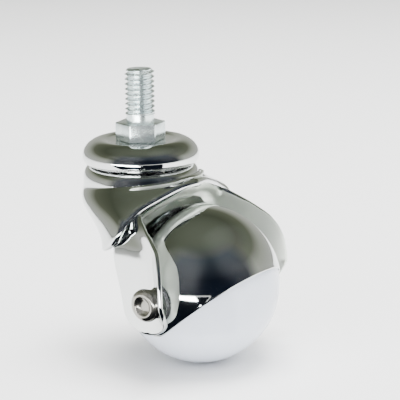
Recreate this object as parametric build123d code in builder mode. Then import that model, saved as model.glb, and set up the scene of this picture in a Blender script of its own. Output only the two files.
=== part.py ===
from build123d import *
import math
import os

# Swivel ball castor with a threaded stem, drawn in millimetres.
# The origin lies on the swivel axis at the hexagon's top face, +Z runs up the stem,
# +X points to the side on which the ball trails, and Y is the axle's direction.

# Ball, hood and floor
ball_radius = 25.0
trail = 23.5
hub_inset = 1.0
hood_clearance = 0.3
hood_sheet = 0.5
hood_flat_radius = 6.0
hood_low_point = -11.7
hood_trailing_slope = 0.883
hood_leading_slope = 0.42
hood_corner_radius = 6.0

# Threaded stem, hexagon and kingpin, in one piece
thread_radius = 4.76
stem_length = 17.0
thread_chamfer = 0.8
hexagon_flats = 14.0
hexagon_height = 5.8
hexagon_turn = 44.3
kingpin_radius = 4.0
kingpin_head_radius = 6.4
kingpin_head_height = 1.7

# Top cap
cap_radius = 18.8
cap_foot_radius = 17.6
cap_crest_radius = 13.0
cap_dish_radius = 9.8
cap_crest_rise = 0.6
cap_height = 7.3
cap_sheet = 1.2

# Swivel head of the fork
head_gap = 0.8
cup_radius = 18.8
cup_rim_radius = 16.9
cup_shoulder_drop = 4.1
cup_wall = 1.4
head_plate_top = -16.8
head_plate = 1.8
cup_skirt_depth = 6.6

# Ball races
race_ball_radius = 1.984
race_clearance = 0.02
race_groove_depth = 0.5
upper_pitch_radius = 12.0
upper_ball_count = 14
lower_pitch_radius = 10.0
lower_ball_count = 12
race_plate = 2.0
race_rim_width = 2.6
race_hub_radius = 8.5
pin_clearance = 0.05

# Fork sheet
fork_sheet = 1.4
arm_end_radius = 9.6
arm_leading_lean = 3.0
brow_room = 5.6
brow_step = 1.4
skirt_stand_out = 1.6
skirt_trailing_reach = 6.2
skirt_foot = 14.2
seat_margin = 0.4
seat_depth = 0.8

# Axle
sleeve_radius = 4.0
running_clearance = 0.08
rivet_radius = 2.5
rivet_head_radius = 5.15
rivet_head_height = 1.7
rivet_crease_radius = 2.7
rivet_dimple_depth = 0.9
rivet_tail_radius = 4.4
rivet_tail_height = 1.5
spacer_radius = 7.0
spacer_thickness = 1.52

hub_flat = ball_radius - hub_inset
hood_outer = ball_radius + hood_clearance + hood_sheet
hood_inner = ball_radius + hood_clearance
hood_flat_inner = math.sqrt(hood_inner**2 - hood_flat_radius**2)
hood_flat_outer = hood_flat_inner + hood_sheet
land_inner = hood_flat_outer + spacer_thickness
land_outer = land_inner + fork_sheet
cap_top = -hexagon_height
cap_foot = cap_top - cap_height
cup_rim = cap_foot - head_gap
head_plate_bottom = head_plate_top - head_plate
axle_height = head_plate_bottom - brow_room - hood_outer
skirt_rise = head_plate_top + brow_step - axle_height
skirt_half_width = land_outer + skirt_stand_out

upper_ball_height = head_plate_top - race_groove_depth + race_ball_radius + race_clearance
upper_race_bottom = upper_ball_height + race_ball_radius + race_clearance - race_groove_depth
lower_ball_height = head_plate_bottom + race_groove_depth - race_ball_radius - race_clearance
lower_race_top = lower_ball_height - race_ball_radius - race_clearance + race_groove_depth
lower_race_bottom = lower_race_top - race_plate

# Horizontal sections of the fork's skirt. The first value is the height above the axle as
# a share of the skirt's rise. The others say how far the section has gone from the cup's
# circle, 0, to the hood's leading side, to the trailing reach and to the full half width, 1.
skirt_sections = [
    (1.0, 0.0, 0.0, 0.0),
    (0.971, 0.0, 0.385, 0.046),
    (0.910, 0.012, 0.596, 0.13),
    (0.829, 0.103, 0.706, 0.278),
    (0.772, 0.248, 0.743, 0.444),
    (0.650, 0.551, 0.89, 0.843),
    (0.535, 0.842, 1.0, 1.0),
    (0.367, 1.09, 0.945, 0.981),
    (0.260, 1.206, 0.945, 0.963),
]

# The skirt's arched trailing edge, seen from the side: distance behind the ball's
# centre and share of the skirt's rise, from the brow over the ball down to the arm.
arch_edge = [
    (0.0, 0.971),
    (-1.3, 0.936),
    (-4.5, 0.829),
    (-6.3, 0.763),
    (-7.2, 0.699),
    (-7.2, 0.578),
    (-9.6, 0.367),
]

# The arm at each share of the skirt's rise. Widths are measured outward from the land's
# outer face at the axle: the land, the skirt edge that it comes from with its place
# behind the ball's centre, and the tip of the flared trailing lip with its place.
arm_sections = [
    (-0.306, 0.0, 0.0, -12.5, 2.2, 10.2),
    (-0.147, 0.0, 0.0, -12.5, 2.8, 10.2),
    (0.046, 0.0, 0.0, -12.5, 6.8, 9.9),
    (0.173, 0.0, 0.0, -12.3, 6.6, 9.6),
    (0.275, -0.3, 0.4, -11.6, 5.8, 9.1),
    (0.367, -1.1, 1.2, -10.2, 4.8, 8.4),
    (0.497, -2.7, 1.0, -8.2, 2.3, 6.0),
    (0.630, -5.1, -0.8, -7.6, -1.3, 0.4),
    (0.711, -7.6, -4.4, -7.4, -5.1, -3.8),
]


def between(start, stop, share):
    """Go a share of the way from one value to another."""
    return start + (stop - start) * share


def revolved_groove(radius, height):
    """Cut a ball track into the part being built."""
    with BuildSketch(Plane.XZ, mode=Mode.PRIVATE) as track:
        with Locations((radius, height)):
            Circle(race_ball_radius + race_clearance)
    revolve(track.sketch, axis=Axis.Z, mode=Mode.SUBTRACT)


def skirt_outlines(inset, drop):
    """Draw the skirt's sections, drawn in by the sheet and lowered under the brow."""
    outlines = []
    for rise, to_hood, to_brow, to_width in skirt_sections:
        leading = -between(trail + cup_radius, hood_outer, to_hood)
        trailing = between(cup_radius - trail, skirt_trailing_reach, to_brow)
        half_width = between(cup_radius, skirt_half_width, to_width)
        centre = trail + (leading + trailing) / 2
        with BuildSketch(Plane.XY.offset(axle_height + rise * skirt_rise - drop)) as outline:
            with Locations((centre, 0)):
                Ellipse((trailing - leading) / 2 - inset, half_width - inset)
        outlines.append(outline.sketch)
    return outlines


# Threaded stem: bar turned with its hexagon and kingpin in one piece, zinc plated.
with BuildPart() as threaded_stem:
    with BuildSketch(Plane.XZ):
        with BuildLine():
            Polyline(
                (0, stem_length),
                (thread_radius - thread_chamfer, stem_length),
                (thread_radius, stem_length - thread_chamfer),
                (thread_radius, -hexagon_height / 2),
                (kingpin_radius, -hexagon_height / 2),
                (kingpin_radius, lower_race_bottom),
                (kingpin_head_radius, lower_race_bottom),
                (kingpin_head_radius - 0.3, lower_race_bottom - kingpin_head_height / 2),
                (kingpin_head_radius - 1.6, lower_race_bottom - kingpin_head_height),
                (0, lower_race_bottom - kingpin_head_height),
                close=True,
            )
        make_face()
    revolve(axis=Axis.Z)
    with BuildSketch(Plane.XY.offset(-hexagon_height)):
        RegularPolygon(hexagon_flats / 2, 6, major_radius=False, rotation=hexagon_turn)
    extrude(amount=hexagon_height)

# Top cap: pressed steel cover with a rounded shoulder and a shallow dish, chrome plated.
with BuildPart() as top_cap:
    with BuildSketch(Plane.XZ):
        with BuildLine():
            shoulder = Spline(
                (cap_foot_radius, cap_foot),
                (cap_radius, cap_foot + 0.31 * cap_height),
                (cap_radius - 1.5, cap_foot + 0.75 * cap_height),
                (cap_crest_radius, cap_top + cap_crest_rise),
                (cap_dish_radius, cap_top),
                tangents=((0.5, 1), (-1, 0)),
            )
            Line(shoulder @ 1, (kingpin_radius + pin_clearance, cap_top))
            Line(
                (kingpin_radius + pin_clearance, cap_top),
                (kingpin_radius + pin_clearance, cap_top - cap_sheet),
            )
            Line(
                (kingpin_radius + pin_clearance, cap_top - cap_sheet),
                (cap_dish_radius, cap_top - cap_sheet),
            )
            inner = Spline(
                (cap_dish_radius, cap_top - cap_sheet),
                (cap_crest_radius, cap_top + cap_crest_rise - cap_sheet),
                (cap_radius - 1.5 - 0.8 * cap_sheet, cap_foot + 0.75 * cap_height - 0.7 * cap_sheet),
                (cap_radius - cap_sheet, cap_foot + 0.31 * cap_height),
                (cap_foot_radius - cap_sheet, cap_foot),
                tangents=((1, 0), (-0.5, -1)),
            )
            Line(inner @ 1, shoulder @ 0)
        make_face()
    revolve(axis=Axis.Z)

# Upper race: turned collar that carries the cap and runs on the upper ring of balls.
with BuildPart() as upper_race:
    with BuildSketch(Plane.XZ):
        with BuildLine():
            Polyline(
                (kingpin_radius + pin_clearance, cap_top - cap_sheet),
                (race_hub_radius, cap_top - cap_sheet),
                (race_hub_radius, upper_race_bottom + race_plate),
                (upper_pitch_radius + race_rim_width, upper_race_bottom + race_plate),
                (upper_pitch_radius + race_rim_width, upper_race_bottom),
                (kingpin_radius + pin_clearance, upper_race_bottom),
                close=True,
            )
        make_face()
    revolve(axis=Axis.Z)
    revolved_groove(upper_pitch_radius, upper_ball_height)

# Lower race: hardened washer held by the peened end of the kingpin.
with BuildPart() as lower_race:
    with BuildSketch(Plane.XZ):
        with BuildLine():
            Polyline(
                (kingpin_radius + pin_clearance, lower_race_top),
                (lower_pitch_radius + race_rim_width, lower_race_top),
                (lower_pitch_radius + race_rim_width, lower_race_bottom),
                (kingpin_radius + pin_clearance, lower_race_bottom),
                close=True,
            )
        make_face()
    revolve(axis=Axis.Z)
    revolved_groove(lower_pitch_radius, lower_ball_height)

# Fork: one deep-drawn stamping with a round cup, a flared skirt and two arms.
with BuildPart() as swivel_cup:
    with BuildSketch(Plane.XZ):
        with BuildLine():
            rim = (cup_rim_radius, cup_rim)
            rim_inside = (cup_rim_radius - 0.8 * cup_wall, cup_rim - 0.6 * cup_wall)
            outside = Spline(
                rim,
                (cup_radius - 0.35, cup_rim - 0.5 * cup_shoulder_drop),
                (cup_radius, cup_rim - cup_shoulder_drop),
                tangents=((1, -0.35), (0, -1)),
            )
            Polyline(
                outside @ 1,
                (cup_radius, cup_rim - cup_skirt_depth),
                (cup_radius - cup_wall, cup_rim - cup_skirt_depth),
                (cup_radius - cup_wall, head_plate_bottom),
                (kingpin_radius + running_clearance, head_plate_bottom),
                (kingpin_radius + running_clearance, head_plate_top),
                (cup_radius - cup_wall, head_plate_top),
                rim_inside,
                rim,
            )
        make_face()
    revolve(axis=Axis.Z)
    revolved_groove(upper_pitch_radius, upper_ball_height)
    revolved_groove(lower_pitch_radius, lower_ball_height)

with BuildPart() as skirt_space:
    loft(skirt_outlines(fork_sheet, 0.8 * fork_sheet))

with BuildPart() as skirt:
    loft(skirt_outlines(0, 0))
    with BuildSketch(Plane.XZ):
        with BuildLine():
            edge = Spline(*[(trail + back, axle_height + up * skirt_rise) for back, up in arch_edge])
            Polyline(
                edge @ 1,
                (trail - hood_outer, axle_height + skirt_foot),
                (-2 * cup_radius, axle_height + skirt_foot),
                (-2 * cup_radius, 0),
                (trail, 0),
                edge @ 0,
            )
        make_face()
    extrude(amount=2 * land_outer, both=True, mode=Mode.INTERSECT)
    add(skirt_space.part, mode=Mode.SUBTRACT)
    with BuildSketch(Plane.XY.offset(head_plate_bottom)):
        Circle(cup_radius - cup_wall)
    extrude(amount=-head_plate_bottom, mode=Mode.SUBTRACT)


def arm_outline(side, rise, land_step, edge_step, edge_back, lip_step, lip_back):
    """Draw the arm's horizontal section: stepped in from the skirt, flat, then flared."""
    land = land_outer + land_step
    edge_width = land_outer + edge_step
    lip_width = land_outer + lip_step
    reach = lip_back - edge_back
    step = edge_width - land
    flare = lip_width - land
    flare_start = edge_back + 0.66 * reach
    lead = [
        (edge_width - 0.3, edge_back - 1.2),
        (land + 0.5 * step, edge_back + 0.10 * reach),
        (land, edge_back + 0.22 * reach),
    ]
    tail = [
        (land, flare_start),
        (land + 0.3 * flare, edge_back + 0.88 * reach),
        (lip_width, edge_back + reach),
    ]
    along = math.hypot(0.7 * flare, 0.12 * reach)
    lip_turn = (0.12 * reach / along, 0.7 * flare / along)
    lead_inner = [
        (edge_width - 0.3 - fork_sheet, edge_back - 1.2),
        (land + 0.5 * step - fork_sheet, edge_back + 0.05 * reach),
        (land - fork_sheet, edge_back + 0.18 * reach),
    ]
    tail_inner = [
        (land - fork_sheet, flare_start),
        (land + 0.3 * flare - 0.85 * fork_sheet, edge_back + 0.88 * reach + 0.5 * fork_sheet),
        (lip_width - fork_sheet * lip_turn[0], lip_back + fork_sheet * lip_turn[1]),
    ]

    def placed(points):
        return [(trail + back, side * width) for width, back in points]

    with BuildSketch(Plane.XY.offset(axle_height + rise * skirt_rise)) as outline:
        with BuildLine():
            start = Spline(*placed(lead), tangents=((1, -0.3 * side), (1, 0)))
            flat = Line(start @ 1, placed(tail)[0])
            lip = Spline(*placed(tail), tangents=((1, 0), (0.12 * reach, 0.7 * flare * side)))
            edge = Line(lip @ 1, placed(tail_inner)[-1])
            back_lip = Spline(
                *reversed(placed(tail_inner)), tangents=((-0.12 * reach, -0.7 * flare * side), (-1, 0))
            )
            back_flat = Line(back_lip @ 1, placed(lead_inner)[-1])
            back_start = Spline(*reversed(placed(lead_inner)), tangents=((-1, 0), (-1, 0.3 * side)))
            Line(back_start @ 1, start @ 0)
        make_face()
    return outline.sketch


def arm(side):
    """Loft one arm and round its end about the axle."""
    with BuildPart() as one_arm:
        loft([arm_outline(side, *section) for section in arm_sections])
        with BuildSketch(Plane.XZ):
            with Locations((trail, axle_height)):
                Circle(arm_end_radius)
            with BuildLine():
                Polyline(
                    (trail - arm_end_radius, axle_height),
                    (trail - arm_end_radius - arm_leading_lean, axle_height + skirt_foot),
                    (trail - arm_end_radius - arm_leading_lean, axle_height + skirt_rise),
                    (trail + 2 * arm_end_radius, axle_height + skirt_rise),
                    (trail + 2 * arm_end_radius, axle_height + 0.2 * arm_end_radius),
                    (trail + arm_end_radius, axle_height),
                    close=True,
                )
            make_face()
        extrude(amount=2 * land_outer, both=True, mode=Mode.INTERSECT)
    return one_arm.part


with BuildPart() as fork:
    add(swivel_cup.part)
    add(skirt.part)
    add(arm(-1))
    add(arm(1))
    for side in (-1, 1):
        for seat_radius, seat_middle in (
            (spacer_radius + seat_margin, land_inner - seat_depth / 2),
            (rivet_head_radius + seat_margin, land_outer + seat_depth / 2),
        ):
            with Locations(Location((trail, side * seat_middle, axle_height), (90, 0, 0))):
                Cylinder(seat_radius, seat_depth, mode=Mode.SUBTRACT)
    with Locations(Location((trail, 0, axle_height), (90, 0, 0))):
        Cylinder(rivet_radius + pin_clearance, 4 * land_outer, mode=Mode.SUBTRACT)

# Hood: thin spherical cover over the ball, clamped beside the arms, chrome plated.
axle_plane = Plane((trail, 0, axle_height), x_dir=(1, 0, 0), z_dir=(0, -1, 0))
with BuildPart() as hood:
    with BuildSketch(Plane((trail, 0, axle_height), x_dir=(0, 1, 0), z_dir=(1, 0, 0))):
        with BuildLine():
            outer_arc = ThreePointArc(
                (-hood_flat_outer, hood_flat_radius), (0, hood_outer), (hood_flat_outer, hood_flat_radius)
            )
            inner_arc = ThreePointArc(
                (-hood_flat_inner, hood_flat_radius - 0.4),
                (0, hood_inner),
                (hood_flat_inner, hood_flat_radius - 0.4),
            )
            Polyline(
                outer_arc @ 1,
                (hood_flat_outer, rivet_radius + pin_clearance),
                (hood_flat_inner, rivet_radius + pin_clearance),
                inner_arc @ 1,
            )
            Polyline(
                outer_arc @ 0,
                (-hood_flat_outer, rivet_radius + pin_clearance),
                (-hood_flat_inner, rivet_radius + pin_clearance),
                inner_arc @ 0,
            )
        make_face()
    revolve(axis=Axis((trail, 0, axle_height), (0, 1, 0)))
    with BuildSketch(axle_plane) as hood_side:
        reach = 2 * ball_radius
        with BuildLine():
            Polyline(
                (0, hood_low_point),
                (reach, hood_low_point + hood_trailing_slope * reach),
                (reach, 2 * reach),
                (-reach, 2 * reach),
                (-reach, hood_low_point + hood_leading_slope * reach),
                close=True,
            )
        make_face()
        fillet(hood_side.vertices().group_by(Axis.Y)[0], hood_corner_radius)
    extrude(amount=2 * ball_radius, both=True, mode=Mode.INTERSECT)

# Ball wheel: one moulded plastic ball with flat hubs, running on the sleeve.
with BuildPart() as ball_wheel:
    with Locations((trail, 0, axle_height)):
        Sphere(ball_radius)
    with Locations((trail, 0, axle_height)):
        Box(2 * ball_radius, 2 * hub_flat, 2 * ball_radius, mode=Mode.INTERSECT)
    with Locations(Location((trail, 0, axle_height), (90, 0, 0))):
        Cylinder(sleeve_radius + running_clearance, 2 * ball_radius, mode=Mode.SUBTRACT)

# Axle sleeve: steel tube that holds the hood's two sides apart and carries the ball.
with BuildPart() as axle_sleeve:
    with Locations(Location((trail, 0, axle_height), (90, 0, 0))):
        Cylinder(sleeve_radius, 2 * hood_flat_inner)
        Cylinder(rivet_radius + pin_clearance, 2 * hood_flat_inner, mode=Mode.SUBTRACT)

# Axle rivet: solid rivet through both arms, with a ringed and dimpled head.
with BuildPart() as axle_rivet:
    with BuildSketch(Plane((trail, 0, axle_height), x_dir=(1, 0, 0), z_dir=(0, 0, 1))):
        with BuildLine():
            ring = ThreePointArc(
                (rivet_head_radius, -land_outer),
                (rivet_head_radius - 0.6, -land_outer - 0.75 * rivet_head_height),
                (rivet_crease_radius + 0.7, -land_outer - rivet_head_height),
            )
            crease = Line(ring @ 1, (rivet_crease_radius, -land_outer - rivet_head_height + 0.35))
            dimple = TangentArc(
                (0, -land_outer - rivet_head_height + rivet_dimple_depth), crease @ 1, tangent=(1, 0)
            )
            tail = Spline(
                (rivet_tail_radius, land_outer),
                (0.75 * rivet_tail_radius, land_outer + 0.75 * rivet_tail_height),
                (0, land_outer + rivet_tail_height),
                tangents=((0, 1), (-1, 0)),
            )
            Polyline(ring @ 0, (rivet_radius, -land_outer), (rivet_radius, land_outer), tail @ 0)
            Line(tail @ 1, dimple @ 0)
        make_face()
    revolve(axis=Axis((trail, 0, axle_height), (0, 1, 0)))


def spacer(side):
    """Make the washer between the hood and one arm."""
    middle = side * (land_inner + hood_flat_outer) / 2
    with BuildPart() as washer:
        with Locations(Location((trail, middle, axle_height), (90, 0, 0))):
            Cylinder(spacer_radius, spacer_thickness)
            Cylinder(rivet_radius + pin_clearance, spacer_thickness, mode=Mode.SUBTRACT)
    return washer.part


def race_ball(pitch_radius, height, angle):
    """Make one bearing ball at its place in a ring."""
    with BuildPart() as one_ball:
        with Locations(
            (
                pitch_radius * math.cos(math.radians(angle)),
                pitch_radius * math.sin(math.radians(angle)),
                height,
            )
        ):
            Sphere(race_ball_radius)
    return one_ball.part


pieces = {
    "threaded_stem": threaded_stem.part,
    "top_cap": top_cap.part,
    "upper_race": upper_race.part,
    "lower_race": lower_race.part,
    "fork": fork.part,
    "hood": hood.part,
    "ball_wheel": ball_wheel.part,
    "axle_sleeve": axle_sleeve.part,
    "axle_rivet": axle_rivet.part,
    "near_spacer": spacer(-1),
    "far_spacer": spacer(1),
}
for number in range(upper_ball_count):
    turn = 360 * number / upper_ball_count
    pieces[f"upper_ball_{number + 1:02d}"] = race_ball(upper_pitch_radius, upper_ball_height, turn)
for number in range(lower_ball_count):
    turn = 360 * number / lower_ball_count
    pieces[f"lower_ball_{number + 1:02d}"] = race_ball(lower_pitch_radius, lower_ball_height, turn)

os.makedirs("parts", exist_ok=True)
for name, piece in pieces.items():
    piece.label = name
    export_step(piece, f"parts/{name}.step")
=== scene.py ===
import math

import bmesh
import bpy
import numpy as np
from mathutils import Matrix, Vector


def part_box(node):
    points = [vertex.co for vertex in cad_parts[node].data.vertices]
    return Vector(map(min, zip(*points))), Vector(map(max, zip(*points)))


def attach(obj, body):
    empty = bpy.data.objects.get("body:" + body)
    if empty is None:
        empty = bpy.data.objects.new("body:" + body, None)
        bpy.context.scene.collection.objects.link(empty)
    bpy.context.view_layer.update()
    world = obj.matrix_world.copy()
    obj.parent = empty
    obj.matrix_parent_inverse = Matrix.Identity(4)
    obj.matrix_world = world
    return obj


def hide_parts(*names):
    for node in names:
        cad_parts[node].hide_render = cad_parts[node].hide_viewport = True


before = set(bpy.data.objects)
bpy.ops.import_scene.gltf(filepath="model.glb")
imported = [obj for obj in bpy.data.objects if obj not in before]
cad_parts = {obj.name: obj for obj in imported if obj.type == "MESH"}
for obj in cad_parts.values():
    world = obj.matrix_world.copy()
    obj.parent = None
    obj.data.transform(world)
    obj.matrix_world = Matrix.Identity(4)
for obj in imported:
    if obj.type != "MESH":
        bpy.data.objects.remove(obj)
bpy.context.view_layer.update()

# Camera. The photograph was taken from a little above, with the near arm on the left
# and the trailing side on the right. Sizes are in millimetres until a piece is made.
MM = 0.001
TRAIL = 23.5
AXLE_HEIGHT = -50.0
CAMERA_DISTANCE = 480.0
CAMERA_AZIMUTH = math.radians(37.0)
CAMERA_ELEVATION = math.radians(16.8)
CAMERA_TILT = math.radians(3.17)
CAMERA_ROLL = math.radians(-0.7)
CAMERA_LENS = 135.6
NEAREST_SEEN = 10.0
ball_centre = Vector((TRAIL, 0, AXLE_HEIGHT))


def toward(azimuth, elevation):
    """Return the direction from the object to a place round it."""
    level = math.cos(elevation)
    return Vector((math.sin(azimuth) * level, -math.cos(azimuth) * level, math.sin(elevation)))


camera_data = bpy.data.cameras.new("camera")
camera_data.lens = CAMERA_LENS
camera_data.clip_start = NEAREST_SEEN * MM
camera = bpy.data.objects.new("camera", camera_data)
bpy.context.scene.collection.objects.link(camera)
camera_place = ball_centre + CAMERA_DISTANCE * toward(CAMERA_AZIMUTH, CAMERA_ELEVATION)
camera_back = toward(CAMERA_AZIMUTH, CAMERA_ELEVATION - CAMERA_TILT)
camera_turn = camera_back.to_track_quat("Z", "Y").to_matrix().to_4x4()
camera.matrix_world = (
    Matrix.Translation(camera_place * MM) @ camera_turn @ Matrix.Rotation(CAMERA_ROLL, 4, "Z")
)
bpy.context.scene.camera = camera


# Floor. A sweep of matt white studio paper under the castor, wide enough to fill the
# picture. Its uncoated fibres scatter the lamps evenly and show no gloss.
FLOOR_SIZE = 12000.0
BALL_RADIUS = 25.0
FLOOR_HEIGHT = AXLE_HEIGHT - BALL_RADIUS


def linear(colour):
    """Turn an sRGB hex value into the linear colour that the shader wants."""
    channels = [int(colour[i : i + 2], 16) / 255 for i in (0, 2, 4)]
    return [c / 12.92 if c <= 0.04045 else ((c + 0.055) / 1.055) ** 2.4 for c in channels] + [1.0]


def add_node(tree, kind, settings=None, **links):
    """Add one node, set its sockets and properties, and link its inputs."""
    node = tree.nodes.new(kind)
    for name, value in (settings or {}).items():
        if name in node.inputs:
            node.inputs[name].default_value = value
        else:
            setattr(node, name, value)
    for name, source in links.items():
        tree.links.new(source, node.inputs[name.replace("_", " ")])
    return node


def start_material(name, colour, metallic, roughness):
    """Make a material with its main shader, and return it with its tree and shader."""
    material = bpy.data.materials.new(name)
    material.use_nodes = True
    shader = material.node_tree.nodes["Principled BSDF"]
    shader.inputs["Base Color"].default_value = linear(colour)
    shader.inputs["Metallic"].default_value = metallic
    shader.inputs["Roughness"].default_value = roughness
    return material, material.node_tree, shader


def mesh_object(name, points, faces, material, smooth_angle=40.0):
    """Make a mesh piece from points in millimetres, shaded smooth up to an angle."""
    mesh = bpy.data.meshes.new(name)
    mesh.from_pydata([Vector(p) * MM for p in points], [], faces)
    mesh.update()
    piece = bpy.data.objects.new(name, mesh)
    bpy.context.scene.collection.objects.link(piece)
    mesh.materials.append(material)
    shaper = bmesh.new()
    shaper.from_mesh(mesh)
    bmesh.ops.recalc_face_normals(shaper, faces=shaper.faces)
    shaper.to_mesh(mesh)
    shaper.free()
    mesh.shade_smooth()
    mesh.set_sharp_from_angle(angle=math.radians(smooth_angle))
    return piece


floor_paper = start_material("matt_studio_paper", "F1F1F1", 0.0, 0.8)[0]
floor_half = FLOOR_SIZE / 2
floor_corners = ((-1, -1), (1, -1), (1, 1), (-1, 1))
floor = mesh_object(
    "studio_floor",
    [(x * floor_half, y * floor_half, FLOOR_HEIGHT) for x, y in floor_corners],
    [(0, 1, 2, 3)],
    floor_paper,
)


# Lights. Two soft boxes stand before the castor and a third hangs over it to whiten the
# floor. The room is dark behind the camera and warm grey behind the castor, and a dark
# cloth and a white card lie on the floor before it, which only its mirror skin sees.
BOX_DISTANCE = 1.1
BOX_FACE_GAIN = 8


def soft_box(name, azimuth, elevation, distance, width, height, power, turn=0.0):
    """Hang one rectangular lamp that faces the ball, its distance and size in metres."""
    lamp = bpy.data.lights.new(name, "AREA")
    lamp.shape = "RECTANGLE"
    lamp.size = width
    lamp.size_y = height
    lamp.energy = power
    box = bpy.data.objects.new(name, lamp)
    bpy.context.scene.collection.objects.link(box)
    back = toward(math.radians(azimuth), math.radians(elevation))
    box.matrix_world = (
        Matrix.Translation(ball_centre * MM + back * distance)
        @ back.to_track_quat("Z", "Y").to_matrix().to_4x4()
        @ Matrix.Rotation(math.radians(turn), 4, "Z")
    )
    return box


# Each box is two lamps in one place: one lights the floor and ball, and a brighter one
# is the white face that the chrome mirrors.
for side, azimuth, elevation, width, height, power, turn in (
    ("left", 2.6, 28.6, 1.19, 1.31, 15.0, 1.4),
    ("right", 116.0, 45.8, 1.42, 1.44, 19.0, -25.2),
):
    box_place = (azimuth, elevation, BOX_DISTANCE, width, height)
    lit_box = soft_box(f"{side}_box", *box_place, power, turn)
    lit_box.visible_glossy = False
    seen_box = soft_box(f"{side}_box_face", *box_place, BOX_FACE_GAIN * power, turn)
    seen_box.visible_diffuse = False
top_box = soft_box("top_box", 200.0, 86.0, 1.6, 1.0, 1.0, 85.0)
top_box.visible_glossy = False


def floor_card(name, places, colour, strength, lift):
    """Lay a card on the floor that is seen in reflections alone."""
    card_material, card_tree, card_shader = start_material(name, colour, 0.0, 0.9)
    card_shader.inputs["Specular IOR Level"].default_value = 0.0
    card_shader.inputs["Emission Color"].default_value = linear(colour)
    card_shader.inputs["Emission Strength"].default_value = strength
    corners = []
    for azimuth, reach in places:
        corner = ball_centre + reach * toward(math.radians(azimuth), 0.0)
        corners.append((corner.x, corner.y, FLOOR_HEIGHT + lift))
    card = mesh_object(name, corners, [tuple(range(len(corners)))], card_material)
    card.visible_camera = False
    card.visible_diffuse = False
    card.visible_shadow = False


CLOTH_NEAR = 30.0
CLOTH_FAR = 900.0
cloth_edge = [(azimuth, CLOTH_NEAR) for azimuth in range(80, -31, -10)]
cloth_edge += [(azimuth, CLOTH_FAR) for azimuth in range(-20, 81, 10)]
floor_card("black_velvet_cloth", cloth_edge, "05070C", 0.0, 0.2)
bounce_edge = [(33, 200.0), (29, 1000.0), (-22, 1000.0), (-22, 560.0)]
floor_card("white_bounce_card", bounce_edge, "FFFFFF", 24.0, 0.4)

world = bpy.data.worlds.new("dim_room")
bpy.context.scene.world = world
world.use_nodes = True
room = world.node_tree
room_places = add_node(room, "ShaderNodeTexCoord")
room_split = add_node(room, "ShaderNodeSeparateXYZ", Vector=room_places.outputs["Generated"])


def room_ramp(stops):
    """Colour the room by height, from the horizon at 0 to overhead at 1."""
    ramp = add_node(room, "ShaderNodeValToRGB", Fac=room_split.outputs["Z"])
    for place, colour in stops[1:-1]:
        ramp.color_ramp.elements.new(place)
    for stop, (place, colour) in zip(ramp.color_ramp.elements, stops):
        stop.position = place
        stop.color = linear(colour)
    return ramp


FRONT_ROOM = [(0.0, "1A2130"), (0.35, "141B28"), (0.75, "39414A"), (1.0, "6F7565")]
BACK_ROOM = [(0.0, "DCDDD6"), (0.3, "BEC1B3"), (0.5, "6E7260"), (0.75, "555A4A"), (1.0, "6F7565")]
BACK_AZIMUTH = math.radians(230.0)
BACK_SHARE_START = -0.45
BACK_SHARE_FULL = -0.1
front_ramp = room_ramp(FRONT_ROOM)
back_ramp = room_ramp(BACK_ROOM)
room_back = add_node(room, "ShaderNodeVectorMath", {"operation": "DOT_PRODUCT"})
room.links.new(room_places.outputs["Generated"], room_back.inputs[0])
room_back.inputs[1].default_value = toward(BACK_AZIMUTH, 0.0)
room_share = add_node(
    room,
    "ShaderNodeMapRange",
    {"From Min": BACK_SHARE_START, "From Max": BACK_SHARE_FULL},
    Value=room_back.outputs["Value"],
)
# The mixing node's colour sockets share their names with others, so each is picked by place.
room_colour = add_node(room, "ShaderNodeMix", {"data_type": "RGBA"})
room.links.new(room_share.outputs["Result"], room_colour.inputs[0])
room.links.new(front_ramp.outputs["Color"], room_colour.inputs[6])
room.links.new(back_ramp.outputs["Color"], room_colour.inputs[7])
room.links.new(room_colour.outputs[2], room.nodes["Background"].inputs["Color"])
room.nodes["Background"].inputs["Strength"].default_value = 1.0


# Threaded stem. A steel bar turned in one piece with its thread, hexagon and kingpin,
# then bright zinc plated, which leaves a pale bluish satin skin with faint tool lines.
# It is riveted over below the swivel head.
THREAD_RADIUS = 4.76
THREAD_PITCH = 1.5875
THREAD_DEPTH = 0.92
THREAD_CREST_START = 0.92
THREAD_FLANK = 0.72
THREAD_CHAMFER = 0.9
THREAD_RUN_IN = 0.5 * THREAD_PITCH
THREAD_TURNS = 64
ROWS_PER_PITCH = 14
STEM_TOP = 17.0
COLLAR_RADIUS = 4.35
COLLAR_TOP = 2.6
KINGPIN_RADIUS = 4.0
HEXAGON_FLATS = 14.0
HEXAGON_HEIGHT = 5.8
HEXAGON_TURN = 44.3
HEXAGON_BEVEL = 0.35
RIVETED_HEIGHT = 1.7
# The lathe's feed leaves a line every fifth of a millimetre, and the plating bath leaves
# clouds a few millimetres wide.
TOOL_LINE = 0.19635
TOOL_LINE_DEPTH = 0.03
ZINC_CLOUD = 2.857


def uneven_finish(tree, shader, grain, detail, roughness, tints=()):
    """Vary a finish in patches of a width in millimetres, and return its coordinates.

    The roughness runs between two values, and the colour between two close tints.
    """
    places = add_node(tree, "ShaderNodeTexCoord")
    patches = add_node(
        tree,
        "ShaderNodeTexNoise",
        {"Scale": 1 / (grain * MM), "Detail": detail},
        Vector=places.outputs["Object"],
    )
    rough = add_node(
        tree,
        "ShaderNodeMapRange",
        {"To Min": roughness[0], "To Max": roughness[1]},
        Value=patches.outputs["Fac"],
    )
    tree.links.new(rough.outputs["Result"], shader.inputs["Roughness"])
    if tints:
        colours = add_node(tree, "ShaderNodeValToRGB", Fac=patches.outputs["Fac"])
        for stop, (place, colour) in zip(colours.color_ramp.elements, tints):
            stop.position = place
            stop.color = linear(colour)
        tree.links.new(colours.outputs["Color"], shader.inputs["Base Color"])
    return places


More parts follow.
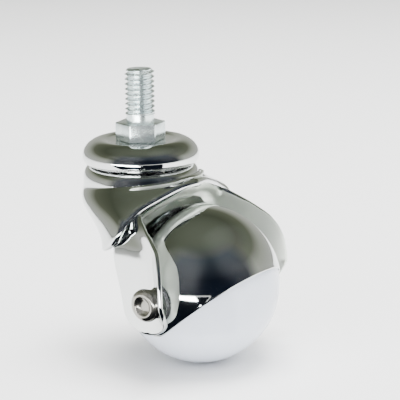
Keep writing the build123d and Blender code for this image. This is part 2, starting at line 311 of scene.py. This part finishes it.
zinc, zinc_tree, zinc_shader = start_material("bright_zinc_plated_steel", "CBD8D8", 1.0, 0.24)
zinc_tints = ((0.3, "C3D0D2"), (0.7, "DCE6E4"))
zinc_places = uneven_finish(zinc_tree, zinc_shader, ZINC_CLOUD, 4.0, (0.16, 0.34), zinc_tints)
zinc_lines = add_node(
    zinc_tree,
    "ShaderNodeTexWave",
    {
        "wave_type": "BANDS",
        "bands_direction": "Z",
        "Scale": math.pi / 10 / (TOOL_LINE * MM),
        "Distortion": 1.5,
    },
    Vector=zinc_places.outputs["Object"],
)
zinc_bump = add_node(
    zinc_tree,
    "ShaderNodeBump",
    {"Strength": 0.05, "Distance": TOOL_LINE_DEPTH * MM},
    Height=zinc_lines.outputs["Fac"],
)
zinc_tree.links.new(zinc_bump.outputs["Normal"], zinc_shader.inputs["Normal"])


def grid_faces(rows, columns, closed=False):
    """List the four-sided faces of a grid of points, closed round its rows if asked."""
    faces = []
    across = columns if closed else columns - 1
    for row in range(rows - 1):
        for column in range(across):
            after = (column + 1) % columns
            low = row * columns
            faces.append((low + column, low + after, low + columns + after, low + columns + column))
    return faces


def thread_radius(angle, height):
    """Give the stem's radius at one angle and height, as a helical groove.

    The flank and the start of the crest are shares of half a pitch.
    """
    if height < COLLAR_TOP:
        return COLLAR_RADIUS
    phase = (height / THREAD_PITCH - angle / (2 * math.pi)) % 1.0
    flank = abs(2 * phase - 1)
    depth = THREAD_DEPTH * min(1.0, max(0.0, (THREAD_CREST_START - flank) / THREAD_FLANK))
    run_in = min(1.0, (height - COLLAR_TOP) / THREAD_RUN_IN)
    chamfered = THREAD_RADIUS - max(0.0, height - (STEM_TOP - THREAD_CHAMFER))
    return min(THREAD_RADIUS - depth * run_in, chamfered)


stem_points = []
thread_reach = STEM_TOP - COLLAR_TOP
thread_rows = int(thread_reach / THREAD_PITCH * ROWS_PER_PITCH)
stem_heights = [-HEXAGON_HEIGHT, COLLAR_TOP - 0.01]
stem_heights += [COLLAR_TOP + thread_reach * row / thread_rows for row in range(thread_rows + 1)]
for height in stem_heights:
    for turn in range(THREAD_TURNS):
        angle = 2 * math.pi * turn / THREAD_TURNS
        radius = thread_radius(angle, height)
        stem_points.append((radius * math.cos(angle), radius * math.sin(angle), height))
stem_faces = grid_faces(len(stem_heights), THREAD_TURNS, closed=True)
stem_faces.append(tuple(range(len(stem_points) - THREAD_TURNS, len(stem_points))))
stem_faces.append(tuple(reversed(range(THREAD_TURNS))))
threaded_stem = mesh_object("zinc_threaded_stem", stem_points, stem_faces, zinc, 50.0)


def hexagon_block(low, high):
    """Build the hexagon with its edges softened as the cold header leaves them."""
    shaper = bmesh.new()
    corner_radius = HEXAGON_FLATS / 2 / math.cos(math.pi / 6)
    rings = []
    for height in (low, high):
        ring = []
        for corner in range(6):
            angle = math.radians(HEXAGON_TURN + 60 * corner)
            side, up = corner_radius * math.cos(angle), corner_radius * math.sin(angle)
            ring.append(shaper.verts.new((side * MM, up * MM, height * MM)))
        rings.append(ring)
    for corner in range(6):
        after = (corner + 1) % 6
        shaper.faces.new((rings[0][corner], rings[0][after], rings[1][after], rings[1][corner]))
    shaper.faces.new(rings[1])
    shaper.faces.new(list(reversed(rings[0])))
    edges = list(shaper.edges)
    bmesh.ops.bevel(
        shaper, geom=edges, offset=HEXAGON_BEVEL * MM, segments=3, affect="EDGES", profile=0.5
    )
    mesh = bpy.data.meshes.new("zinc_hexagon")
    shaper.to_mesh(mesh)
    shaper.free()
    mesh.materials.append(zinc)
    mesh.shade_smooth()
    mesh.set_sharp_from_angle(angle=math.radians(35))
    piece = bpy.data.objects.new("zinc_hexagon", mesh)
    bpy.context.scene.collection.objects.link(piece)
    return piece


def join(pieces, name):
    """Join several mesh pieces into one."""
    with bpy.context.temp_override(
        active_object=pieces[0], selected_objects=pieces, selected_editable_objects=pieces
    ):
        bpy.ops.object.join()
    pieces[0].name = name
    return pieces[0]


def turned(name, profile, material, segments=128, centre=(0, 0, 0), along="Z", smooth_angle=40.0):
    """Turn a closed profile of radius and place about an axis, as on a lathe."""
    points = []
    for radius, place in profile:
        for step in range(segments):
            angle = 2 * math.pi * step / segments
            side, up = radius * math.cos(angle), radius * math.sin(angle)
            local = (side, up, place) if along == "Z" else (side, place, up)
            points.append(tuple(a + b for a, b in zip(local, centre)))
    faces = grid_faces(len(profile), segments, closed=True)
    last = len(points) - segments
    for step in range(segments):
        after = (step + 1) % segments
        faces.append((last + step, last + after, after, step))
    return mesh_object(name, points, faces, material, smooth_angle)


def smooth_line(points, steps):
    """Run a smooth line through points, with a number of steps between each two."""
    knots = np.array(points, dtype=float)
    ends = np.vstack([2 * knots[0] - knots[1], knots, 2 * knots[-1] - knots[-2]])
    line = []
    for place in range(len(knots) - 1):
        before, start, stop, after = ends[place : place + 4]
        for step in range(steps):
            t = step / steps
            line.append(
                0.5
                * (
                    2 * start
                    + (stop - before) * t
                    + (2 * before - 5 * start + 4 * stop - after) * t**2
                    + (3 * start - before - 3 * stop + after) * t**3
                )
            )
    line.append(knots[-1])
    return np.array(line)


stem_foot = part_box("threaded_stem")[0].z / MM
kingpin_top = 0.2 - HEXAGON_HEIGHT
rivet_over = stem_foot + RIVETED_HEIGHT
kingpin_profile = [
    (0.01, kingpin_top),
    (KINGPIN_RADIUS, kingpin_top),
    (KINGPIN_RADIUS, rivet_over),
    (6.4, rivet_over),
    (6.3, stem_foot + 0.9),
    (5.7, stem_foot + 0.3),
    (4.6, stem_foot),
    (0.01, stem_foot),
]
kingpin = turned("zinc_kingpin", kingpin_profile, zinc, 64)
hexagon = hexagon_block(-HEXAGON_HEIGHT, 0.0)
threaded_stem = join([threaded_stem, hexagon, kingpin], "zinc_threaded_stem")
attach(threaded_stem, "stem")
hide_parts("threaded_stem")


# Top cap. A pressed steel cover with a fat rounded shoulder and a shallow dish round the
# hexagon, chromium plated over nickel: a mirror skin with the faintest ripple of the
# polished sheet. The hexagon clamps it to the stem.
CAP_HEIGHT = 7.3
CAP_TOP = -HEXAGON_HEIGHT
CAP_FOOT = CAP_TOP - CAP_HEIGHT
CAP_FOOT_RADIUS = 17.3
CAP_SHEET = 1.2
CAP_OUTLINE = [
    (CAP_FOOT_RADIUS, CAP_FOOT),
    (18.35, CAP_FOOT + 0.8),
    (18.8, CAP_FOOT + 2.3),
    (18.45, CAP_FOOT + 4.2),
    (17.3, CAP_FOOT + 5.9),
    (15.5, CAP_FOOT + 7.2),
    (13.6, CAP_FOOT + 7.8),
    (12.0, CAP_FOOT + 7.75),
    (10.6, CAP_FOOT + 7.45),
    (9.4, CAP_FOOT + CAP_HEIGHT),
]
# Buffing leaves a haze in patches of about 8 mm, and the sheet ripples every 4 mm or so.
CHROME_HAZE = 8.333
CHROME_RIPPLE = 3.846
CHROME_RIPPLE_DEPTH = 0.02

chrome, chrome_tree, chrome_shader = start_material("polished_chromium_plate", "D6D9D8", 1.0, 0.045)
chrome_places = uneven_finish(chrome_tree, chrome_shader, CHROME_HAZE, 5.0, (0.03, 0.075))
chrome_ripple = add_node(
    chrome_tree,
    "ShaderNodeTexNoise",
    {"Scale": 1 / (CHROME_RIPPLE * MM), "Detail": 1.0},
    Vector=chrome_places.outputs["Object"],
)
chrome_bump = add_node(
    chrome_tree,
    "ShaderNodeBump",
    {"Strength": 0.05, "Distance": CHROME_RIPPLE_DEPTH * MM},
    Height=chrome_ripple.outputs["Fac"],
)
chrome_tree.links.new(chrome_bump.outputs["Normal"], chrome_shader.inputs["Normal"])

# The inside follows the outside about a sheet's thickness away, down to the foot.
cap_line = [tuple(p) for p in smooth_line(CAP_OUTLINE, 6)]
cap_inside = []
for radius, height in reversed(cap_line):
    if height > CAP_FOOT + CAP_SHEET:
        under = min(height, CAP_TOP) - 0.9 * CAP_SHEET
        cap_inside.append((max(radius - 0.75 * CAP_SHEET, KINGPIN_RADIUS), under))
cap_profile = cap_line + [(KINGPIN_RADIUS, CAP_TOP), (KINGPIN_RADIUS, CAP_TOP - CAP_SHEET)]
cap_profile += cap_inside + [(CAP_FOOT_RADIUS - CAP_SHEET, CAP_FOOT)]
top_cap = turned("chrome_top_cap", cap_profile, chrome, 160)
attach(top_cap, "stem")
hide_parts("top_cap")


# Races and race balls. Turned and hardened steel rings with two rows of loose balls,
# oiled, seen only as a dark glint in the gap under the cap. They keep their solids.
OIL_FILM = 2.0
bearing_steel, bearing_tree, bearing_shader = start_material("oiled_bearing_steel", "8B8D8F", 1.0, 0.25)
uneven_finish(bearing_tree, bearing_shader, OIL_FILM, 3.0, (0.15, 0.4))


def refinish(node, material):
    """Give a kept solid its material."""
    for place in node.material_slots:
        place.material = material


for node_name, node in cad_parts.items():
    if "race" in node_name or "_ball_" in node_name:
        refinish(node, bearing_steel)


# Fork. One deep-drawn steel stamping, chromium plated: a round cup, a flared skirt whose
# arched edge is rolled under, and two arms with flared trailing lips. Its points give
# half width, distance behind the ball's centre and height over the floor.
FLOOR_TO_AXLE = BALL_RADIUS
SWIVEL_BACK = -TRAIL
FORK_SHEET = 1.4
CUP_RADIUS = 18.8
CUP_SHOULDER = 61.1
CUP_FOOT = 56.0
CUP_LEAN_START = 57.8
SKIRT_TOP = 56.5
SKIRT_TOP_LEAN = 3.1
SKIRT_MIDDLE = (-12.0, 0.0, 40.0)
SKIRT_STEPS_ALONG = 6
SKIRT_STEPS_DOWN = 20
SKIRT_START_REACH = 0.3
SKIRT_END_REACH = 0.36
HEM_RADIUS = 1.6
LEADING_HEM_RADIUS = 0.5
HEM_TURN = math.radians(150)
HEM_STEPS = 10
SKIRT_EDGE = [
    (0, (0.0, 0.0, 58.7)),
    (20, (6.0, -1.3, 57.4)),
    (45, (15.0, -4.5, 53.7)),
    (60, (20.0, -6.3, 51.4)),
    (71, (24.2, -7.2, 49.0)),
    (80, (27.4, -7.6, 46.8)),
    (87, (29.0, -8.9, 44.7)),
    (94, (29.6, -11.0, 42.7)),
    (101, (29.4, -13.6, 41.0)),
    (109, (28.4, -16.2, 39.8)),
    (118, (26.2, -18.4, 39.0)),
    (134, (20.5, -21.2, 38.4)),
    (157, (11.0, -23.5, 38.1)),
    (180, (0.0, -24.4, 38.2)),
]
CUP_OUTLINE = [
    (15.7, 60.6),
    (16.3, 61.05),
    (17.0, 61.0),
    (17.8, 60.3),
    (18.4, 59.2),
    (18.7, CUP_LEAN_START),
    (CUP_RADIUS, CUP_FOOT),
]


def fork_place(half_width, back, floor_height, side=-1):
    """Turn a fork measure into a point of the frame."""
    return (TRAIL + back, side * half_width, AXLE_HEIGHT - FLOOR_TO_AXLE + floor_height)


def unit(vectors):
    """Scale each vector to length one."""
    return vectors / np.maximum(np.linalg.norm(vectors, axis=-1, keepdims=True), 1e-9)


def skirt_points(steps_along, steps_down):
    """Lay out half the skirt from the cup to its rolled edge, row by row round the fork.

    At the brow a section drops from the cup and leans out at the hem. At the sides it
    swells outward first and then hangs almost upright.
    """
    edge = smooth_line([(angle, *place) for angle, place in SKIRT_EDGE], steps_along)
    angles = np.radians(edge[:, 0])
    lower = edge[:, [2, 1, 3]]
    upper = np.stack(
        [
            SWIVEL_BACK + CUP_RADIUS * np.cos(angles),
            CUP_RADIUS * np.sin(angles),
            SKIRT_TOP + SKIRT_TOP_LEAN * np.cos(angles),
        ],
        1,
    )
    span = np.linalg.norm(lower - upper, axis=1, keepdims=True)
    straight = unit(lower - upper)
    down = np.array([0.0, 0.0, -1.0])
    radial = np.stack([np.cos(angles), np.sin(angles), 0 * angles], 1)
    sideways = np.sin(angles)[:, None] ** 2
    brow_start = 0.75 * down + 0.25 * straight
    brow_end = straight + 0.18 * np.stack([0 * angles, np.sin(angles), -0.5 + 0 * angles], 1)
    side_start = 0.8 * radial + 0.6 * down
    side_end = down + 0.12 * radial
    start = unit(brow_start + sideways * (side_start - brow_start))
    end = unit(brow_end + sideways * (side_end - brow_end))
    first = upper + SKIRT_START_REACH * span * start
    second = lower - SKIRT_END_REACH * span * end
    rows = []
    for step in range(steps_down + 1):
        t = step / steps_down
        toward_first = 3 * (1 - t) ** 2 * t * first
        toward_second = 3 * (1 - t) * t**2 * second
        rows.append((1 - t) ** 3 * upper + toward_first + toward_second + t**3 * lower)
    return rows


def rolled_rows(rows, radius, turn, steps):
    """Roll the last row of a sheet under, so that the roll's outermost line is the edge.

    The radius has one value for each column of the sheet.
    """
    edge = rows[-1]
    ahead = unit(rows[-1] - rows[-2])
    round_edge = unit(np.gradient(edge, axis=0))
    outward = unit(np.cross(round_edge, ahead))
    outward *= np.sign(np.sum(outward * (edge - np.array(SKIRT_MIDDLE)), axis=1, keepdims=True))
    middle = edge - radius * ahead - radius * outward
    shrunk = [row.copy() for row in rows]
    for place in range(len(rows)):
        shrunk[place] = rows[place] - radius * ahead * (place / (len(rows) - 1)) ** 3
    for step in range(1, steps + 1):
        angle = turn * step / steps
        shrunk.append(middle + radius * (outward * math.cos(angle) + ahead * math.sin(angle)))
    return shrunk


half_sheet = skirt_points(SKIRT_STEPS_ALONG, SKIRT_STEPS_DOWN)
edge_angles = smooth_line([(angle, 0.0) for angle, place in SKIRT_EDGE], SKIRT_STEPS_ALONG)[:, :1]
hem_radii = np.interp(edge_angles, [90.0, 125.0], [HEM_RADIUS, LEADING_HEM_RADIUS])
half_rows = rolled_rows(half_sheet, hem_radii, HEM_TURN, HEM_STEPS)
skirt_grid = []
for row in half_rows:
    near = [fork_place(y, f, z, -1) for f, y, z in row]
    far = [fork_place(y, f, z, 1) for f, y, z in row[-2:0:-1]]
    skirt_grid.append(near + far)
around = len(skirt_grid[0])
cup_line = smooth_line(CUP_OUTLINE, 4)
cup_angles = [math.atan2(y, x) for x, y, z in skirt_grid[0]]
cup_rows = []
for radius, floor_height in cup_line:
    lean_share = max(0.0, (CUP_LEAN_START - floor_height) / (CUP_LEAN_START - CUP_FOOT))
    ring_height = AXLE_HEIGHT - FLOOR_TO_AXLE + min(floor_height, CUP_SHOULDER)
    ring = []
    for angle in cup_angles:
        lean = (SKIRT_TOP + SKIRT_TOP_LEAN * math.cos(angle) - CUP_FOOT) * lean_share
        ring.append((radius * math.cos(angle), radius * math.sin(angle), ring_height + lean))
    cup_rows.append(ring)
fork_rows = cup_rows[:-1] + skirt_grid


def sheet_piece(name, points, faces, thickness, material, inside=None):
    """Make a pressed sheet: an outer skin thickened inward, its cut edges rounded."""
    piece = mesh_object(name, points, faces, material, 180.0)
    skin = piece.modifiers.new("sheet", "SOLIDIFY")
    skin.thickness = thickness * MM
    skin.offset = -1.0
    skin.use_even_offset = False
    skin.use_quality_normals = True
    if inside:
        piece.data.materials.append(inside)
        skin.material_offset = 1
    rounding = piece.modifiers.new("rounding", "SUBSURF")
    rounding.levels = 1
    rounding.render_levels = 1
    return piece


# The inside of the stamping is plated but not buffed, so it is a soft pale grey.
# Its clouds are those of the plating bath, about 6 mm wide.
UNBUFFED_CLOUD = 6.25
unbuffed, unbuffed_tree, unbuffed_shader = start_material("unbuffed_chromium_plate", "D2D8CF", 1.0, 0.34)
uneven_finish(unbuffed_tree, unbuffed_shader, UNBUFFED_CLOUD, 3.0, (0.28, 0.4))

skirt_skin = [point for row in fork_rows for point in row]
skirt_faces = grid_faces(len(fork_rows), around, closed=True)
skirt = sheet_piece("chrome_fork_skirt", skirt_skin, skirt_faces, FORK_SHEET, chrome, unbuffed)

# The arms are drawn as seen from the side: an outline filled with a grid, and a depth
# at each place of it, flat over the land and flared at the trailing lip.
LAND_DEPTH = [
    (15.0, 28.0),
    (35.0, 28.0),
    (38.5, 27.8),
    (42.2, 27.2),
    (46.8, 25.4),
    (50.0, 23.0),
    (52.0, 20.8),
]
LIP_LINE = [
    (15.0, 10.0, 30.2),
    (20.0, 10.2, 30.9),
    (23.0, 10.1, 33.0),
    (26.6, 9.9, 34.5),
    (33.9, 9.2, 33.8),
    (38.5, 7.9, 32.4),
    (42.2, 6.0, 30.4),
    (46.8, 0.2, 27.0),
    (50.0, -4.6, 23.6),
    (51.5, -6.6, 21.6),
]
ARM_END_RADIUS = 9.6
LIP_WIDTH = 9.0
TRAILING_SIDE = [
    (9.9, 26.6),
    (9.2, 33.9),
    (7.9, 38.5),
    (6.0, 42.2),
    (3.3, 44.6),
    (0.2, 46.8),
    (-4.6, 50.0),
    (-6.6, 51.5),
]
LEADING_SIDE = [
    (-9.6, 25.0),
    (-10.6, 29.6),
    (-12.0, 35.0),
    (-13.0, 40.0),
    (-12.8, 46.0),
    (-12.0, 51.5),
]


def table_value(table, height, column=1):
    """Read a value from a short table by floor height."""
    return float(np.interp(height, [row[0] for row in table], [row[column] for row in table]))


def arm_depth(back, height):
    """Give the arm's outer face at one place of its side view."""
    land = table_value(LAND_DEPTH, height)
    lip_back = table_value(LIP_LINE, height)
    flare = table_value(LIP_LINE, height, 2) - land
    lip_place = min(1.0, max(0.0, (back - lip_back + LIP_WIDTH) / LIP_WIDTH))
    return land + flare * lip_place**2


def even_line(points, count):
    """Spread a number of points evenly along a smooth line."""
    line = smooth_line(points, 24)
    run = np.concatenate([[0.0], np.cumsum(np.linalg.norm(np.diff(line, axis=0), axis=1))])
    places = np.linspace(0.0, run[-1], count)
    return np.stack([np.interp(places, run, line[:, axis]) for axis in range(line.shape[1])], 1)


def arm_end(angles):
    """Follow the round end of the arm, about the axle, at angles in degrees."""
    turns = np.radians(angles)
    return np.stack([ARM_END_RADIUS * np.cos(turns), FLOOR_TO_AXLE + ARM_END_RADIUS * np.sin(turns)], 1)


def arm_points(side, across, upward):
    """Fill the arm's side view with a grid and set each point at its depth."""
    left = even_line([*arm_end([-135, -155]), *LEADING_SIDE], upward)
    right = even_line([*arm_end([-45, -25]), *TRAILING_SIDE], upward)
    bottom = arm_end(np.linspace(-135, -45, across))
    top = np.linspace(left[-1], right[-1], across)
    points = []
    for row in range(upward):
        v = row / (upward - 1)
        for column in range(across):
            u = column / (across - 1)
            place = (1 - v) * bottom[column] + v * top[column] + (1 - u) * left[row] + u * right[row]
            place -= (1 - u) * ((1 - v) * bottom[0] + v * top[0])
            place -= u * ((1 - v) * bottom[-1] + v * top[-1])
            points.append(fork_place(arm_depth(*place), *place, side))
    return points


ARM_ACROSS = 26
ARM_UPWARD = 44
arms = []
arm_faces = grid_faces(ARM_UPWARD, ARM_ACROSS)
for side, which in ((-1, "near"), (1, "far")):
    arm_skin = arm_points(side, ARM_ACROSS, ARM_UPWARD)
    arms.append(
        sheet_piece(f"chrome_fork_{which}_arm", arm_skin, arm_faces, FORK_SHEET, chrome, unbuffed)
    )

# Inside the arch the same sheet turns in towards the hood like the mouth of a bell. Each
# station gives the free edge, the bend and the deep end: half width, back, floor height.
MOUTH_STATIONS = [
    ((0.0, -0.5, 57.9), (0.0, -1.2, 53.2), (0.0, -6.0, 52.2)),
    ((6.0, -1.8, 56.6), (6.2, -2.8, 52.8), (6.0, -7.5, 51.6)),
    ((15.0, -5.0, 52.9), (13.8, -6.2, 50.6), (13.5, -10.0, 49.4)),
    ((19.8, -6.8, 50.6), (18.6, -8.0, 48.2), (18.0, -12.0, 46.8)),
    ((22.4, -4.9, 49.4), (21.2, -7.5, 46.4), (20.4, -11.5, 44.8)),
    ((25.4, -0.3, 46.3), (23.8, -4.0, 43.4), (22.8, -9.0, 42.2)),
    ((28.8, 5.2, 41.7), (26.0, 0.8, 40.0), (24.6, -5.0, 38.6)),
    ((31.0, 7.3, 37.8), (26.6, 2.6, 36.8), (25.6, -3.0, 35.8)),
    ((31.2, 8.2, 33.9), (26.2, 3.0, 33.4), (25.4, -3.0, 33.0)),
]
MOUTH_STEPS = 12
MOUTH_STEPS_ALONG = 5
half_mouth = []
mouth_lines = [smooth_line([row[k] for row in MOUTH_STATIONS], MOUTH_STEPS_ALONG) for k in range(3)]
for edge, bend, deep in zip(*mouth_lines):
    section = []
    for step in range(MOUTH_STEPS + 1):
        t = step / MOUTH_STEPS
        section.append((1 - t) ** 2 * edge + 2 * (1 - t) * t * bend + t**2 * deep)
    half_mouth.append(section)
mouth_rows = [[fork_place(*place, -1) for place in section] for section in reversed(half_mouth)]
mouth_rows += [[fork_place(*place, 1) for place in section] for section in half_mouth[1:]]
mouth_skin = [point for row in mouth_rows for point in row]
mouth_faces = grid_faces(len(mouth_rows), MOUTH_STEPS + 1)
mouth = mesh_object("chrome_fork_mouth", mouth_skin, mouth_faces, unbuffed, 180.0)
for piece in (skirt, mouth, *arms):
    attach(piece, "fork")
    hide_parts("fork")

# The head plate closes the cup under the balls. It is part of the same stamping.
HEAD_BORE = 4.1
HEAD_RADIUS = 18.0
HEAD_THICKNESS = 1.6
head_low = AXLE_HEIGHT - FLOOR_TO_AXLE + SKIRT_TOP
head_high = head_low + HEAD_THICKNESS
head_places = [
    (HEAD_BORE, head_low),
    (HEAD_RADIUS, head_low),
    (HEAD_RADIUS, head_high),
    (HEAD_BORE, head_high),
]
head_plate = turned("chrome_fork_head_plate", head_places, chrome, 96)
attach(head_plate, "fork")
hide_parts("fork")


# Hood. A thin spherical steel cover spun to fit over the ball, its rim beaded for
# stiffness, chromium plated and clamped at the axle between the arms.
HOOD_RADIUS = 25.8
HOOD_SHEET = 0.5
HOOD_LOW = -11.7
HOOD_TRAILING_SLOPE = 0.883
HOOD_LEADING_SLOPE = 0.42
HOOD_RIM_ROUNDING = 2.0
HOOD_FLAT = 25.05
HOOD_BEAD = 0.12
HOOD_BEAD_WIDTH = 0.45
HOOD_STEPS = 60
HOOD_AROUND = 180


def hood_rim(count):
    """Follow the rim round the sphere, trailing side first, as angles from the top."""
    rim = []
    for step in range(count):
        turn = 2 * math.pi * step / count
        low, high = 0.0, math.pi
        for halving in range(40):
            angle = (low + high) / 2
            back = HOOD_RADIUS * math.sin(angle) * math.cos(turn)
            up = HOOD_RADIUS * math.cos(angle)
            slope = HOOD_TRAILING_SLOPE * back if back > 0 else -HOOD_LEADING_SLOPE * back
            rounded = math.hypot(slope, HOOD_RIM_ROUNDING) - HOOD_RIM_ROUNDING
            if up > HOOD_LOW + rounded:
                low = angle
            else:
                high = angle
        rim.append((low, turn))
    return rim


hood_points = []
for step in range(1, HOOD_STEPS + 1):
    share = step / HOOD_STEPS
    for angle, turn in hood_rim(HOOD_AROUND):
        reach = angle * share
        from_rim = (angle - reach) * HOOD_RADIUS
        bead = HOOD_BEAD * math.exp(-((from_rim / HOOD_BEAD_WIDTH) ** 2))
        radius = HOOD_RADIUS - HOOD_SHEET / 2 + bead
        back = radius * math.sin(reach) * math.cos(turn)
        width = radius * math.sin(reach) * math.sin(turn)
        width = max(-HOOD_FLAT, min(HOOD_FLAT, width))
        hood_points.append((TRAIL + back, width, AXLE_HEIGHT + radius * math.cos(reach)))
hood_faces = grid_faces(HOOD_STEPS, HOOD_AROUND, closed=True)
hood_faces.append(tuple(range(HOOD_AROUND)))
hood = sheet_piece("chrome_hood", hood_points, hood_faces, HOOD_SHEET, chrome)
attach(hood, "fork")
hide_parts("hood")


# Ball wheel. One ball moulded in white plastic with a high gloss, flat at its hubs and
# bored for the sleeve. Under the gloss the plastic is very slightly uneven.
HUB_FLAT = 24.0
BORE_RADIUS = 4.08
# The melt's flow marks are about 11 mm wide, and light sinks 4 mm into the plastic.
PLASTIC_CLOUD = 11.11
PLASTIC_GLOW = 4.0
BALL_STEPS = 96
ball_plastic, ball_tree, ball_shader = start_material("moulded_white_polypropylene", "E2E6EE", 0.0, 0.16)
ball_shader.inputs["IOR"].default_value = 1.49
ball_shader.inputs["Coat Weight"].default_value = 0.3
ball_shader.inputs["Coat Roughness"].default_value = 0.05
ball_shader.inputs["Subsurface Weight"].default_value = 0.12
ball_shader.inputs["Subsurface Radius"].default_value = (PLASTIC_GLOW * MM,) * 3
ball_tints = ((0.0, "D5DCE9"), (1.0, "E2E8F3"))
uneven_finish(ball_tree, ball_shader, PLASTIC_CLOUD, 3.0, (0.12, 0.22), ball_tints)

hub_turn = math.acos(HUB_FLAT / BALL_RADIUS)
ball_profile = [
    (BALL_RADIUS * math.sin(angle), -BALL_RADIUS * math.cos(angle))
    for angle in np.linspace(hub_turn, math.pi - hub_turn, BALL_STEPS + 1)
]
ball_profile += [(BORE_RADIUS, HUB_FLAT), (BORE_RADIUS, -HUB_FLAT)]
ball_wheel = turned("white_ball_wheel", ball_profile, ball_plastic, 192, ball_centre, "Y", 20.0)
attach(ball_wheel, "wheel")
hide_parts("ball_wheel")


# Axle rivet, sleeve and spacers. A soft steel rivet, nickel plated to a darker satin,
# holds arms, spacers, hood and sleeve together. Its near head has a ring and a dimple.
LAND_OUTER = 28.0
RIVET_HEAD = 5.15
RIVET_SHANK = 2.5
NICKEL_CLOUD = 2.381
nickel, nickel_tree, nickel_shader = start_material("satin_nickel_plated_steel", "98968F", 1.0, 0.2)
uneven_finish(nickel_tree, nickel_shader, NICKEL_CLOUD, 4.0, (0.1, 0.26))
RIVET_HEAD_OUTLINE = [
    (0.02, -28.75),
    (1.5, -28.85),
    (2.5, -29.25),
    (2.95, -29.62),
    (3.6, -29.7),
    (4.4, -29.4),
    (4.95, -28.8),
    (RIVET_HEAD, -LAND_OUTER),
]
RIVET_TAIL_OUTLINE = [(4.4, LAND_OUTER), (4.1, 28.6), (3.2, 29.15), (1.8, 29.42), (0.02, 29.5)]
rivet_profile = [tuple(p) for p in smooth_line(RIVET_HEAD_OUTLINE, 5)]
rivet_profile += [(RIVET_SHANK, -LAND_OUTER), (RIVET_SHANK, LAND_OUTER)]
rivet_profile += [tuple(p) for p in smooth_line(RIVET_TAIL_OUTLINE, 5)]
axle_rivet = turned("nickel_axle_rivet", rivet_profile, nickel, 96, ball_centre, "Y", 60.0)
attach(axle_rivet, "fork")
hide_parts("axle_rivet")
for node_name in ("axle_sleeve", "near_spacer", "far_spacer"):
    refinish(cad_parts[node_name], bearing_steel)
